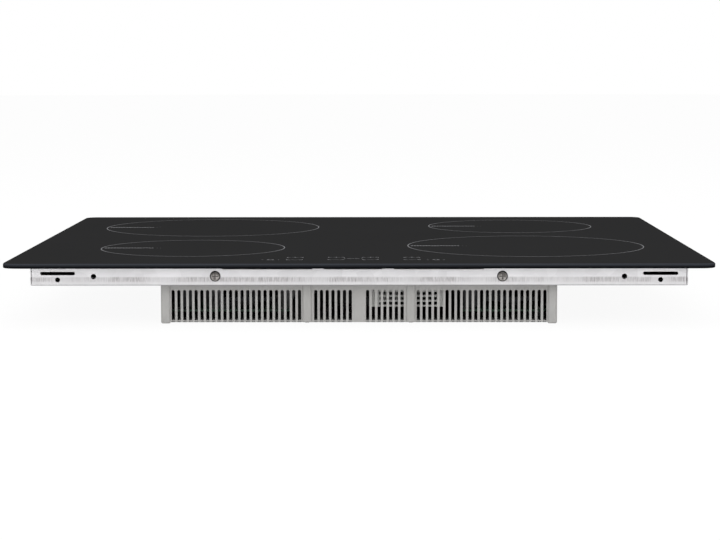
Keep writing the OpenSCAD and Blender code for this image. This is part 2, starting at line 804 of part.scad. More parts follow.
// Plastic carrier of a coil: a plate with windows, a rim, a rib on each side of every bar, three lugs
module coil_carrier(r, bars) {
    rim_r = r + carrier_rim;
    mid_r = (r + hub_r) / 2;
    channel = ferrite_w + 2 * ferrite_gap;
    color("#d9d5c8") difference() {
        union() {
            translate([0, 0, plate_z]) linear_extrude(carrier_t) difference() {
                circle(rim_r);
                for (i = [0 : bars - 1]) rotate((i + 1 / 2) * 360 / bars)
                    translate([mid_r, 0]) circle(mid_r * window_share);
            }
            translate([0, 0, skirt_z]) linear_extrude(plate_z - skirt_z) {
                difference() {
                    circle(rim_r);
                    circle(rim_r - carrier_rib);
                }
                difference() {
                    circle(hub_r);
                    circle(hub_r - carrier_rib);
                }
                for (i = [0 : bars - 1]) rotate(i * 360 / bars) for (s = [-1, 1])
                    translate([hub_r - carrier_rib / 2, s * (channel + carrier_rib) / 2 - carrier_rib / 2])
                        square([rim_r - hub_r, carrier_rib]);
            }
            at_lugs(r) translate([0, 0, skirt_z]) cylinder(r = coil_lug_r, h = winding_z - skirt_z);
        }
        at_lugs(r) {
            translate([0, 0, skirt_z - cut])
                cylinder(r = coil_lug_r - spring_pocket_wall,
                    h = winding_z - skirt_z - spring_pocket_wall + cut);
            cylinder(r = pin_r + running, h = top_z);
        }
        cylinder(r = sensor_wire_r, h = top_z);
    }
}

// Flat winding: a ring whose two faces show the turns of the wire
module coil_winding(r) {
    turns = floor((r - winding_in_r) / turn_pitch);
    inner = r - turns * turn_pitch;
    upper = [for (i = [0 : turns - 1]) each [
        [inner + i * turn_pitch + turn_valley, winding_t],
        [inner + (i + 1) * turn_pitch - turn_valley, winding_t],
        [inner + (i + 1) * turn_pitch, winding_t - turn_valley]]];
    lower = [for (i = [turns - 1 : -1 : 0]) each [
        [inner + (i + 1) * turn_pitch, turn_valley],
        [inner + (i + 1) * turn_pitch - turn_valley, 0],
        [inner + i * turn_pitch + turn_valley, 0]]];
    color("#b5793f") translate([0, 0, winding_z]) rotate_extrude()
        polygon(concat([[inner, turn_valley], [inner, winding_t - turn_valley]], upper, lower));
}

module coil_ferrites(r, bars) {
    color("#4a4a4c") for (i = [0 : bars - 1]) rotate([0, 0, i * 360 / bars])
        translate([hub_r + ferrite_w / 2, -ferrite_w / 2, ferrite_z])
            cube([r - hub_r - ferrite_w / 2, ferrite_w, ferrite_t]);
}

module coil_mica(r) {
    color("#c9b896") translate([0, 0, glass_z - mica_t]) linear_extrude(mica_t) difference() {
        circle(r + mica_overhang);
        circle(mica_hole_r);
    }
}

module coil_sensor() {
    color("#e8e6e0") translate([0, 0, winding_z]) {
        cylinder(r = sensor_r, h = winding_t / 2);
        cylinder(r = sensor_r * sensor_tip_share, h = winding_t + mica_t - sensor_drop);
    }
}

// Spring wire swept along a helix
module helical_spring() {
    rings = spring_turns * spring_steps;
    climb = spring_high - spring_low - 2 * spring_wire_r;
    points = [for (i = [0 : rings]) for (j = [0 : spring_sides - 1])
        let (a = i * 360 / spring_steps, b = j * 360 / spring_sides,
            r = spring_r + spring_wire_r * cos(b))
        [r * cos(a), r * sin(a), spring_low + spring_wire_r + climb * i / rings + spring_wire_r * sin(b)]];
    sides = [for (i = [0 : rings - 1]) for (j = [0 : spring_sides - 1])
        let (n = (j + 1) % spring_sides)
        each [[i * spring_sides + j, i * spring_sides + n, (i + 1) * spring_sides + n],
            [i * spring_sides + j, (i + 1) * spring_sides + n, (i + 1) * spring_sides + j]]];
    first = [[for (j = [0 : spring_sides - 1]) spring_sides - 1 - j]];
    last = [[for (j = [0 : spring_sides - 1]) rings * spring_sides + j]];
    polyhedron(points, concat(sides, first, last));
}

module coil_springs(r) {
    color("#a7a9ac") at_lugs(r) helical_spring();
}

module rear_left_carrier() { translate(rear_left) coil_carrier(large_coil_r, large_bars); }
module rear_left_winding() { translate(rear_left) coil_winding(large_coil_r); }
module rear_left_ferrites() { translate(rear_left) coil_ferrites(large_coil_r, large_bars); }
module rear_left_mica() { translate(rear_left) coil_mica(large_coil_r); }
module rear_left_sensor() { translate(rear_left) coil_sensor(); }
module rear_left_springs() { translate(rear_left) coil_springs(large_coil_r); }
module front_left_carrier() { translate(front_left) coil_carrier(small_coil_r, small_bars); }
module front_left_winding() { translate(front_left) coil_winding(small_coil_r); }
module front_left_ferrites() { translate(front_left) coil_ferrites(small_coil_r, small_bars); }
module front_left_mica() { translate(front_left) coil_mica(small_coil_r); }
module front_left_sensor() { translate(front_left) coil_sensor(); }
module front_left_springs() { translate(front_left) coil_springs(small_coil_r); }
module rear_right_carrier() { translate(rear_right) coil_carrier(small_coil_r, small_bars); }
module rear_right_winding() { translate(rear_right) coil_winding(small_coil_r); }
module rear_right_ferrites() { translate(rear_right) coil_ferrites(small_coil_r, small_bars); }
module rear_right_mica() { translate(rear_right) coil_mica(small_coil_r); }
module rear_right_sensor() { translate(rear_right) coil_sensor(); }
module rear_right_springs() { translate(rear_right) coil_springs(small_coil_r); }
module front_right_carrier() { translate(front_right) coil_carrier(large_coil_r, large_bars); }
module front_right_winding() { translate(front_right) coil_winding(large_coil_r); }
module front_right_ferrites() { translate(front_right) coil_ferrites(large_coil_r, large_bars); }
module front_right_mica() { translate(front_right) coil_mica(large_coil_r); }
module front_right_sensor() { translate(front_right) coil_sensor(); }
module front_right_springs() { translate(front_right) coil_springs(large_coil_r); }

// Shallow plastic tray that carries the touch board on four legs
module at_ui_legs() {
    for (x = [-1, 1]) for (y = [-1, 1])
        translate([ui_x + x * (ui_w / 2 - ui_leg_inset), ui_y + y * (ui_d / 2 - ui_leg_inset), 0])
            children();
}

module ui_carrier() {
    color("#e4e4e2") {
        difference() {
            translate([ui_x, ui_y, ui_floor_z]) linear_extrude(glass_z - ui_rim_top - ui_floor_z)
                rounded(ui_w, ui_d, ui_wall);
            translate([ui_x, ui_y, ui_floor_z + ui_floor_t + tray_h / 2])
                cube([ui_w - 2 * ui_wall, ui_d - 2 * ui_wall, tray_h], center = true);
        }
        at_ui_legs() {
            translate([0, 0, tray_floor_z]) cylinder(r = ui_leg_r, h = ui_floor_z - tray_floor_z);
            translate([0, 0, ui_floor_z]) cylinder(r = ui_leg_r, h = ui_board_z - ui_floor_z);
        }
    }
}

module ui_board() {
    color("#2f6b45") translate([ui_x, ui_y, ui_board_z]) linear_extrude(board_t)
        square([ui_w - 2 * ui_wall - 2 * loose, ui_d - 2 * ui_wall - 2 * loose], center = true);
}

module touch_pads() {
    pad_z = ui_board_z + board_t;
    color("#242425") for (k = keys) translate([ui_x + k[0], ui_y + k[1], pad_z])
        cylinder(r = pad_r, h = glass_z - pad_z);
}

module display_modules() {
    low = ui_board_z + board_t;
    color("#1a1a1b") for (x = display_x) for (s = [-1, 1])
        translate([ui_x + x - display_w / 2, ui_y + s * key_row_pitch / 2 - display_d / 2, low])
            cube([display_w, display_d, glass_z - display_gap - low]);
}

// Screw pillars: two at the front and two at the rear
module at_housing_screws() {
    for (s = [-1, 1]) for (y = [housing_front_y + pillar_depth / 2, housing_back_y - pillar_depth / 2])
        translate([s * pillar_x, y, 0]) children();
}

module at_feet() {
    for (s = [-1, 1]) for (y = [housing_front_y + pillar_depth / 2, housing_back_y - pillar_depth / 2])
        translate([s * end_pillar_x, y, 0]) children();
}

module at_board_posts() {
    for (b = [left_board, right_board, filter_board_at])
        for (x = [post_inset, b[2] - post_inset]) for (y = [post_inset, b[3] - post_inset])
            translate([b[0] + x, b[1] + y, 0]) children();
}

module at_blower_lugs() {
    for (p = blower_lugs) translate([p[0], p[1], 0]) children();
}

// One slotted wall, drawn flat: x along the wall, y upward
module slotted_wall(slots) {
    difference() {
        translate([pillar_w / 2 - housing_w / 2, foot_h]) square([housing_w - pillar_w, housing_h - foot_h]);
        for (x = slots) translate([x, 0]) {
            translate([-slot_w / 2, slot_low]) square([slot_w, slot_h - slot_w / 2]);
            translate([0, slot_low + slot_h - slot_w / 2]) circle(d = slot_w);
            translate([-floor_slot_w / 2, 0]) square([floor_slot_w, slot_low - slot_bar_h]);
        }
    }
}

module housing() {
    wall_l = wall_back_y - wall_front_y;
    color("#b5b7b5") difference() {
        union() {
            // Front and rear walls with their air slots
            translate([0, inner_front_y, 0]) rotate([90, 0, 0]) linear_extrude(wall_t)
                slotted_wall(front_slots);
            translate([0, wall_back_y, 0]) rotate([90, 0, 0]) linear_extrude(wall_t)
                slotted_wall(rear_slots);
            // Side walls
            for (s = [-1, 1])
                translate([s * (housing_w / 2 - wall_t / 2), housing_mid_y, (housing_h + foot_h) / 2])
                    cube([wall_t, wall_l - pillar_w, housing_h - foot_h], center = true);
            // Floor, with slots that run out under the front and rear walls
            translate([0, 0, foot_h]) linear_extrude(floor_t) difference() {
                translate([wall_t / 2 - housing_w / 2, wall_front_y + wall_t / 2])
                    square([housing_w - wall_t, wall_l - wall_t]);
                for (x = front_slots) translate([x - floor_slot_w / 2, wall_front_y])
                    square([floor_slot_w, wall_t + floor_slot_l]);
                for (x = rear_slots) translate([x - floor_slot_w / 2, inner_back_y - floor_slot_l])
                    square([floor_slot_w, wall_t + floor_slot_l]);
                for (i = [0 : inlet_slots - 1])
                    translate([blower_x + (i - (inlet_slots - 1) / 2) * inlet_slot_pitch, blower_y])
                        rotate(90) stadium(2 * inlet_r, inlet_slot_w);
            }
            // Pillars: feet at the corners, screw pillars nearer the middle
            at_feet() linear_extrude(housing_h) rounded(pillar_w, pillar_depth, pillar_corner_r);
            at_housing_screws() translate([0, 0, pillar_recess]) linear_extrude(housing_h - pillar_recess)
                rounded(pillar_w, pillar_depth, pillar_corner_r);
            // Posts for the circuit boards and the blower
            at_board_posts() translate([0, 0, foot_h]) cylinder(r = post_r, h = board_z - foot_h);
            at_blower_lugs() translate([0, 0, foot_h]) cylinder(r = blower_lug_r, h = blower_z - foot_h);
            // Collar round the cable entry
            translate([entry_x, wall_back_y, entry_z]) rotate([90, 0, 0])
                cylinder(r = entry_r + entry_boss, h = wall_t + entry_boss_l);
        }
        at_feet() mirror([0, 0, 1]) bevel_cutter(pillar_w, pillar_depth, pillar_corner_r, foot_bevel);
        at_housing_screws() {
            cylinder(r = housing_screw_r + snug, h = housing_h + cut);
            translate([0, 0, -cut]) cylinder(r = housing_screw_head_r + loose, h = pillar_recess + cut);
        }
        at_board_posts() translate([0, 0, floor_z]) cylinder(r = small_screw_r + snug, h = board_z);
        at_blower_lugs() translate([0, 0, floor_z]) cylinder(r = small_screw_r + snug, h = blower_z);
        translate([entry_x, housing_back_y, entry_z]) rotate([90, 0, 0])
            cylinder(r = entry_r, h = pillar_depth + entry_boss_l);
    }
}

module housing_screws() {
    color("#a9a7a6") at_housing_screws() translate([0, 0, pillar_recess]) mirror([0, 0, 1])
        cross_screw(housing_screw_head_r, housing_screw_head_h, housing_screw_r,
            tray_floor_z - snug - pillar_recess);
}

// A circuit board with a hole over each post
module circuit_board(b) {
    color("#2f6b45") difference() {
        translate([b[0], b[1], board_z]) cube([b[2], b[3], board_t]);
        at_board_posts() cylinder(r = small_screw_r + snug, h = housing_h);
    }
}

module left_power_board() { circuit_board(left_board); }
module right_power_board() { circuit_board(right_board); }
module filter_board() { circuit_board(filter_board_at); }

// Extruded heat sink with upright fins along Y
module heat_sink() {
    step = (sink_w - fin_t) / (fin_count - 1);
    color("#a9adb1") translate([0, sink_l / 2, sink_z]) rotate([90, 0, 0]) linear_extrude(sink_l) {
        translate([-sink_w / 2, 0]) square([sink_w, sink_base_t]);
        for (i = [0 : fin_count - 1]) translate([i * step - sink_w / 2, 0])
            square([fin_t, sink_base_t + fin_h]);
    }
}

module left_heat_sink() { translate([left_sink_x, sink_y, 0]) heat_sink(); }
module right_heat_sink() { translate([right_sink_x, sink_y, 0]) heat_sink(); }

// Flat transistor with three legs that reach the board
module transistor() {
    translate([-transistor_w / 2, 0, board_top]) cube([transistor_w, transistor_l, transistor_t]);
    for (i = [-1, 0, 1]) translate([i * lead_pitch - lead_w / 2, -lead_l, board_top])
        cube([lead_w, lead_l, lead_t]);
}

module power_transistors() {
    color("#2a2a2c") for (x = [left_sink_x, right_sink_x]) for (i = [0 : transistor_count - 1])
        translate([x, sink_y + (i - (transistor_count - 1) / 2) * transistor_pitch - transistor_l / 2, 0])
            transistor();
}

// Box capacitor with bevelled upper edges
module box_capacitor() {
    difference() {
        linear_extrude(cap_h) rounded(cap_w, cap_l, cap_corner_r);
        translate([0, 0, cap_h]) bevel_cutter(cap_w, cap_l, cap_corner_r, cap_bevel);
    }
}

module film_capacitors() {
    color("#c9a227") for (b = [left_board, right_board]) for (i = [0 : cap_count - 1])
        translate([b[0] + cap_x, b[1] + cap_inset + i * (b[3] - 2 * cap_inset) / (cap_count - 1), board_top])
            box_capacitor();
}

// Ring core with its wire laid round it, on a small base
module filter_choke() {
    at = [filter_board_at[0] + filter_board_at[2] / 2, filter_board_at[1] + choke_inset];
    color("#7a4b25") translate([at[0], at[1], board_top]) {
        cylinder(r = choke_r + choke_base_rim, h = choke_base_h);
        translate([0, 0, choke_base_h]) linear_extrude(choke_h - choke_base_h) difference() {
            circle(choke_r - choke_wire_r);
            circle(choke_in_r);
        }
        for (i = [0 : choke_turns - 1]) rotate([0, 0, i * 360 / choke_turns])
            translate([choke_r - choke_wire_r, 0, choke_base_h])
                cylinder(r = choke_wire_r, h = choke_h - choke_base_h);
    }
}

module relays() {
    color("#2c3a52") for (i = [0, 1])
        translate([filter_board_at[0] + relay_inset_x + i * (relay_w + relay_gap),
            filter_board_at[1] + filter_board_d - relay_inset_y, board_top])
            cube([relay_w, relay_l, relay_h]);
}

// Mains terminal block with five screw wells, on the housing floor beside the cable entry
module terminal_block() {
    step = terminal_w / terminal_ways;
    color("#dedbd0") difference() {
        translate([entry_x - terminal_w / 2, terminal_y - terminal_d, floor_z])
            cube([terminal_w, terminal_d, terminal_h]);
        for (i = [0 : terminal_ways - 1])
            translate([entry_x - terminal_w / 2 + (i + 1 / 2) * step, terminal_y - terminal_d / 2,
                floor_z + terminal_h / 2]) cylinder(r = terminal_screw_r, h = terminal_h);
    }
}

module board_screws() {
    color("#a9a7a6") {
        at_board_posts() translate([0, 0, board_top])
            cross_screw(small_screw_head_r, small_screw_head_h, small_screw_r, board_t + post_h - post_drill);
        at_blower_lugs() translate([0, 0, casing_z + blower_lug_h])
            cross_screw(small_screw_head_r, small_screw_head_h, small_screw_r,
                casing_z + blower_lug_h - floor_z - post_drill);
    }
}

// Scroll seen from above, drawn in by a wall thickness: three quarter circles and the outlet
module scroll_plan(inset) {
    c1 = [blower_x - scroll_half, blower_y + scroll_half];
    c2 = [blower_x + scroll_half, blower_y + scroll_half];
    c3 = [blower_x + scroll_half, blower_y - scroll_half];
    big = 2 * scroll_r3;
    intersection() {
        translate(c1) circle(scroll_r1 - inset);
        translate([c1[0] - big, c1[1] - big]) square([big, big]);
    }
    intersection() {
        translate(c2) circle(scroll_r2 - inset);
        translate([c2[0] - big, c2[1]]) square([big, big]);
    }
    intersection() {
        translate(c3) circle(scroll_r3 - inset);
        translate([c3[0], c3[1]]) square([big, big]);
    }
    translate([c1[0] - cut, blower_y - scroll_half]) square([scroll_step + 2 * cut, scroll_step]);
    translate([c1[0] + inset, outlet_front_y - (inset > 0 ? cut : 0)])
        square([outlet_w - 2 * inset, c3[1] - outlet_front_y + (inset > 0 ? cut : 0)]);
    translate([c1[0], c1[1] - scroll_r1 + inset]) square([outlet_w / 2, scroll_r1 - inset]);
}

module lug_plan() {
    for (p = blower_lugs) translate(p) circle(blower_lug_r);
    translate([blower_lugs[0][0], blower_lugs[0][1] - blower_neck_w / 2])
        square([2 * blower_lug_off - scroll_wall, blower_neck_w]);
    for (i = [1, 2]) translate(blower_lugs[i]) rotate(i == 1 ? -45 : -135)
        translate([0, -blower_neck_w / 2]) square([2 * blower_lug_off, blower_neck_w]);
}

module blower_casing() {
    color("#aeb0ae") difference() {
        union() {
            difference() {
                union() {
                    translate([0, 0, casing_z]) linear_extrude(casing_h) scroll_plan(0);
                    translate([0, 0, casing_z]) linear_extrude(blower_lug_h) lug_plan();
                }
                translate([0, 0, casing_z - cut]) linear_extrude(casing_h - scroll_wall + cut)
                    scroll_plan(scroll_wall);
            }
            translate([blower_x, blower_y, bearing_low])
                cylinder(r = bearing_r + bearing_tube_wall, h = casing_top - bearing_low);
        }
        translate([blower_x, blower_y, bearing_low - cut])
            cylinder(r = bearing_r + snug, h = casing_top - scroll_wall - bearing_low + cut);
        at_blower_lugs() cylinder(r = small_screw_r + snug, h = casing_top);
    }
}

module blower_cover() {
    color("#aeb0ae") difference() {
        translate([0, 0, blower_z]) linear_extrude(cover_t) {
            scroll_plan(0);
            lug_plan();
        }
        translate([blower_x, blower_y, 0]) cylinder(r = inlet_r, h = casing_top);
        at_blower_lugs() cylinder(r = small_screw_r + snug, h = casing_top);
    }
}

// Finger guard across the outlet, with three long slots, just behind the front slots
module blower_guard() {
    mid_x = blower_x - scroll_half + outlet_w / 2;
    color("#b5b7b5") translate([mid_x, guard_front_y + guard_t, blower_z]) rotate([90, 0, 0])
        linear_extrude(guard_t) difference() {
            translate([-outlet_w / 2, 0]) square([outlet_w, blower_h]);
            for (i = [0 : guard_slots - 1]) translate([0, guard_slot_low + i * guard_slot_pitch])
                stadium(guard_slot_l, guard_slot_h);
        }
}

// Laminated stator with six poles on the bearing tube
module motor_stator() {
    color("#8a5a3a") translate([blower_x, blower_y, stator_low]) linear_extrude(stator_h) difference() {
        union() {
            circle(stator_core_r);
            for (i = [0 : stator_poles - 1]) rotate(i * 360 / stator_poles)
                translate([0, -stator_core_r / 3])
                    square([stator_r - stator_core_r / 3, 2 * stator_core_r / 3]);
            difference() {
                circle(stator_r);
                circle(stator_r - hub_wall);
                for (i = [0 : stator_poles - 1]) rotate((i + 1 / 2) * 360 / stator_poles)
                    translate([0, -hub_wall / 2]) square([hub_cup_r, hub_wall]);
            }
        }
        circle(bearing_r + bearing_tube_wall + snug);
    }
}

module motor_bearings() {
    color("#9a9da0") translate([blower_x, blower_y, 0])
        for (z = [bearing_low, casing_top - scroll_wall - bearing_h]) translate([0, 0, z])
            linear_extrude(bearing_h) difference() {
                circle(bearing_r);
                circle(shaft_r + running);
            }
}

// Impeller: hub cup open at the top, back disc, curved blades and a tie ring at the inlet side
module impeller() {
    hub_low = impeller_z + hub_wall / 2;
    color("#e9e9e6") translate([blower_x, blower_y, 0]) difference() {
        union() {
            translate([0, 0, impeller_top - impeller_disc_t]) linear_extrude(impeller_disc_t)
                circle(impeller_r);
            translate([0, 0, hub_low]) cylinder(r = hub_cup_r, h = impeller_top - hub_low);
            translate([0, 0, impeller_z]) linear_extrude(impeller_disc_t) difference() {
                circle(impeller_r);
                circle(impeller_r - tie_ring_w);
            }
            translate([0, 0, impeller_z]) linear_extrude(impeller_top - impeller_z) blades_plan();
        }
        translate([0, 0, hub_low + hub_wall]) cylinder(r = hub_cup_r - hub_wall, h = casing_h);
        cylinder(r = shaft_r + snug, h = casing_top);
    }
}

module blades_plan() {
    chord = impeller_r - blade_in_r;
    for (i = [0 : blade_count - 1]) rotate(i * 360 / blade_count) translate([impeller_r - blade_t, 0])
        rotate(180 - blade_sweep) square([chord, blade_t]);
}

module motor_shaft() {
    low = impeller_z + hub_wall / 2;
    color("#c4c7ca") translate([blower_x, blower_y, low])
        cylinder(r = shaft_r, h = casing_top - scroll_wall - shaft_tip - low);
}

module motor_magnet() {
    color("#3b3b3d") translate([blower_x, blower_y, stator_low]) linear_extrude(stator_h) difference() {
        circle(hub_cup_r - hub_wall - snug);
        circle(hub_cup_r - hub_wall - magnet_t);
    }
}

glass_plate();
printed_marks();
seal_tape();
silicone_pads();
glass_brackets();
bracket_screws();
tray();
shield_plate();
shield_screws();
guide_pins();
rear_left_carrier();
rear_left_winding();
rear_left_ferrites();
rear_left_mica();
rear_left_sensor();
rear_left_springs();
front_left_carrier();
front_left_winding();
front_left_ferrites();
front_left_mica();
front_left_sensor();
front_left_springs();
rear_right_carrier();
rear_right_winding();
rear_right_ferrites();
rear_right_mica();
rear_right_sensor();
rear_right_springs();
front_right_carrier();
front_right_winding();
front_right_ferrites();
front_right_mica();
front_right_sensor();
front_right_springs();
ui_carrier();
ui_board();
touch_pads();
display_modules();
housing();
housing_screws();
left_power_board();
right_power_board();
filter_board();
left_heat_sink();
right_heat_sink();
power_transistors();
film_capacitors();
filter_choke();
relays();
terminal_block();
board_screws();
blower_casing();
blower_cover();
blower_guard();
motor_stator();
motor_bearings();
impeller();
motor_shaft();
motor_magnet();
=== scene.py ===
import math

import bmesh
import bpy
from mathutils import Matrix, Vector


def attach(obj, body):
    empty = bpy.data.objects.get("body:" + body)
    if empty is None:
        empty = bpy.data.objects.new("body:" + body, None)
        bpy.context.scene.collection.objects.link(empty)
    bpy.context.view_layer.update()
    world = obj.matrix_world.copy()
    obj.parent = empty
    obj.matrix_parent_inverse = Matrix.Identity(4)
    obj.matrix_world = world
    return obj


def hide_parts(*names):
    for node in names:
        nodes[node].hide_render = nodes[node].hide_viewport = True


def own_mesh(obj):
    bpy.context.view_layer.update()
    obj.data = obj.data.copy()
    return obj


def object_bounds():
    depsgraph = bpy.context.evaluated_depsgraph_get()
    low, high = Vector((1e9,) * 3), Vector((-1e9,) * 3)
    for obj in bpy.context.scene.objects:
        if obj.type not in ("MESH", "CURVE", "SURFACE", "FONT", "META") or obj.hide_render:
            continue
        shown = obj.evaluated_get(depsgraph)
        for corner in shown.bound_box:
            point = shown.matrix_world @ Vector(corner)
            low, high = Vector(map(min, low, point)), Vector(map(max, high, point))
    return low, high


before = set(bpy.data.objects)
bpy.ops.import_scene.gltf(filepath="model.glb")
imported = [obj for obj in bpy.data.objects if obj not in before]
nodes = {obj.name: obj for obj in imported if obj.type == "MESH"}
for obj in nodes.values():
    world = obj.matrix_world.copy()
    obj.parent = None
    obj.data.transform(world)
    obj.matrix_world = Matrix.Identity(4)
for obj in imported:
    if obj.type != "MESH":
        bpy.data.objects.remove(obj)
cadLow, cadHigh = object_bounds()
mm = 0.001
plainWhite = (1, 1, 1, 1)
noiseRange = (0.2, 0.8)      # where nearly all values of a noise lie
coils = ["rear_left", "front_left", "rear_right", "front_right"]
print("frame loaded, nodes:", len(nodes))


# shared helpers

def ofEachCoil(part):
    return [coil + "_" + part for coil in coils]


def screen(r, g, b):
    # a 0-255 screen colour as the linear one that shaders take
    def one(v):
        v = v / 255
        return v / 12.92 if v <= 0.04045 else ((v + 0.055) / 1.055) ** 2.4
    return (one(r), one(g), one(b), 1)


def newMaterial(name, rough, metal=0.0, shine=0.5):
    mat = bpy.data.materials.new(name)
    mat.use_nodes = True
    tree = mat.node_tree
    shader = tree.nodes["Principled BSDF"]
    shader.inputs["Roughness"].default_value = rough
    shader.inputs["Metallic"].default_value = metal
    shader.inputs["Specular IOR Level"].default_value = shine
    return mat, tree, shader


def place(tree, scale=(1, 1, 1)):
    # the point on the object in metres, stretched by scale
    coords = tree.nodes.new("ShaderNodeTexCoord")
    mapping = tree.nodes.new("ShaderNodeMapping")
    mapping.inputs["Scale"].default_value = scale
    tree.links.new(coords.outputs["Object"], mapping.inputs["Vector"])
    return mapping.outputs["Vector"]


def axes(tree, vector):
    node = tree.nodes.new("ShaderNodeSeparateXYZ")
    tree.links.new(vector, node.inputs["Vector"])
    return node.outputs


def noise(tree, vector, scale, detail=3.0, rough=0.5):
    node = tree.nodes.new("ShaderNodeTexNoise")
    node.inputs["Scale"].default_value = scale
    node.inputs["Detail"].default_value = detail
    node.inputs["Roughness"].default_value = rough
    tree.links.new(vector, node.inputs["Vector"])
    return node.outputs["Fac"]


def cells(tree, vector, scale, output="Distance"):
    node = tree.nodes.new("ShaderNodeTexVoronoi")
    node.inputs["Scale"].default_value = scale
    tree.links.new(vector, node.inputs["Vector"])
    return node.outputs[output]


def twoTones(tree, fac, stops, first, second):
    node = tree.nodes.new("ShaderNodeValToRGB")
    for mark, at, colour in zip(node.color_ramp.elements, stops, (first, second)):
        mark.position = at
        mark.color = colour
    tree.links.new(fac, node.inputs["Fac"])
    return node.outputs["Color"]


def between(tree, fac, low, high, outLow, outHigh):
    node = tree.nodes.new("ShaderNodeMapRange")
    limits = {"From Min": low, "From Max": high, "To Min": outLow, "To Max": outHigh}
    for name, value in limits.items():
        node.inputs[name].default_value = value
    tree.links.new(fac, node.inputs["Value"])
    return node.outputs["Result"]


def calculate(tree, kind, a, b=0):
    node = tree.nodes.new("ShaderNodeMath")
    node.operation = kind
    for socket, value in zip(node.inputs, (a, b)):
        if isinstance(value, (int, float)):
            socket.default_value = value
        else:
            tree.links.new(value, socket)
    return node.outputs["Value"]


def addShares(tree, a, shareOfA, b, shareOfB):
    first = calculate(tree, "MULTIPLY", a, shareOfA)
    return calculate(tree, "ADD", first, calculate(tree, "MULTIPLY", b, shareOfB))


def blendColours(tree, fac, a, b):
    node = tree.nodes.new("ShaderNodeMix")
    node.data_type = "RGBA"
    for socket, value in ((node.inputs[0], fac), (node.inputs[6], a), (node.inputs[7], b)):
        if hasattr(value, "node"):
            tree.links.new(value, socket)
        else:
            socket.default_value = value
    return node.outputs[2]


def mixShaders(tree, fac, first, second):
    mix = tree.nodes.new("ShaderNodeMixShader")
    if isinstance(fac, float):
        mix.inputs["Fac"].default_value = fac
    else:
        tree.links.new(fac, mix.inputs["Fac"])
    tree.links.new(first, mix.inputs[1])
    tree.links.new(second, mix.inputs[2])
    tree.links.new(mix.outputs["Shader"], tree.nodes["Material Output"].inputs["Surface"])


def addBump(tree, shader, height, strength, depth):
    node = tree.nodes.new("ShaderNodeBump")
    node.inputs["Strength"].default_value = strength
    node.inputs["Distance"].default_value = depth
    tree.links.new(height, node.inputs["Height"])
    tree.links.new(node.outputs["Normal"], shader.inputs["Normal"])


def dress(mat, *names):
    for name in names:
        slots = nodes[name].data.materials
        slots.clear()
        slots.append(mat)


def newObject(name, data):
    made = bpy.data.objects.new(name, data)
    bpy.context.scene.collection.objects.link(made)
    return made


# camera, taken from the photo's perspective; angles in degrees

camera = {
    "lens": 104.7,
    "place": (0.01507, -1.9748, 0.21936),
    "left": 0.463,
    "down": 5.695,
    "roll": -0.0826,
    "near": 0.05,
    "far": 50,
}


def makeCamera(settings):
    left, down, roll = (math.radians(settings[k]) for k in ("left", "down", "roll"))
    level = math.cos(down)
    ahead = Vector((-math.sin(left) * level, math.cos(left) * level, -math.sin(down)))
    right = Vector((math.cos(left), math.sin(left), 0))
    up = right.cross(ahead)
    tilt, upright = math.sin(roll), math.cos(roll)
    right, up = right * upright + up * tilt, up * upright - right * tilt
    data = bpy.data.cameras.new("camera")
    data.lens = settings["lens"]
    data.clip_start = settings["near"]
    data.clip_end = settings["far"]
    viewer = newObject("camera", data)
    turn = Matrix((right, up, -ahead)).transposed().to_4x4()
    viewer.matrix_world = Matrix.Translation(settings["place"]) @ turn
    bpy.context.scene.camera = viewer


makeCamera(camera)
print("camera placed")


# floor, background and lights

studio = {
    "floorRadius": 12.0,
    "floorSides": 96,
    "floorColour": screen(245, 245, 245),
    "floorWhite": 0.93,      # share of plain white that the camera sees on the floor
    # left, right, front and back of the floor under the housing, which stays dark
    "shaded": (-0.1655, 0.1655, -0.2185, 0.1005),
    "worldLight": 0.8,
    "lamps": [
        # name, place, watts
        ("frontLamp", (0.1, -2.4, 0.9), 34.0),
        ("keyLamp", (-0.9, -1.6, 2.0), 14.0),
        ("fillLamp", (1.4, -1.7, 1.7), 10.0),
        ("topLamp", (0.0, 0.6, 2.2), 12.0),
    ],
}


def seenDirectly(tree):
    # 1 for what the camera, a mirror or a clear piece shows, 0 for the light on surfaces
    path = tree.nodes.new("ShaderNodeLightPath")
    first = calculate(tree, "MAXIMUM", path.outputs["Is Camera Ray"], path.outputs["Is Glossy Ray"])
    return calculate(tree, "MAXIMUM", first, path.outputs["Is Transmission Ray"])


def makeWorld(settings):
    world = bpy.data.worlds.new("studioWorld")
    world.use_nodes = True
    bpy.context.scene.world = world
    tree = world.node_tree
    background = tree.nodes["Background"]
    background.inputs["Color"].default_value = plainWhite
    strength = between(tree, seenDirectly(tree), 0, 1, settings["worldLight"], 1)
    tree.links.new(strength, background.inputs["Strength"])


def isBare(tree, limits):
    # 1 on the open floor, 0 under the housing
    where = axes(tree, place(tree))
    left, right, front, back = limits
    under = calculate(tree, "GREATER_THAN", where["X"], left)
    for kind, axis, edge in (
        ("LESS_THAN", "X", right),
        ("GREATER_THAN", "Y", front),
        ("LESS_THAN", "Y", back),
    ):
        under = calculate(tree, "MULTIPLY", under, calculate(tree, kind, where[axis], edge))
    return calculate(tree, "SUBTRACT", 1, under)


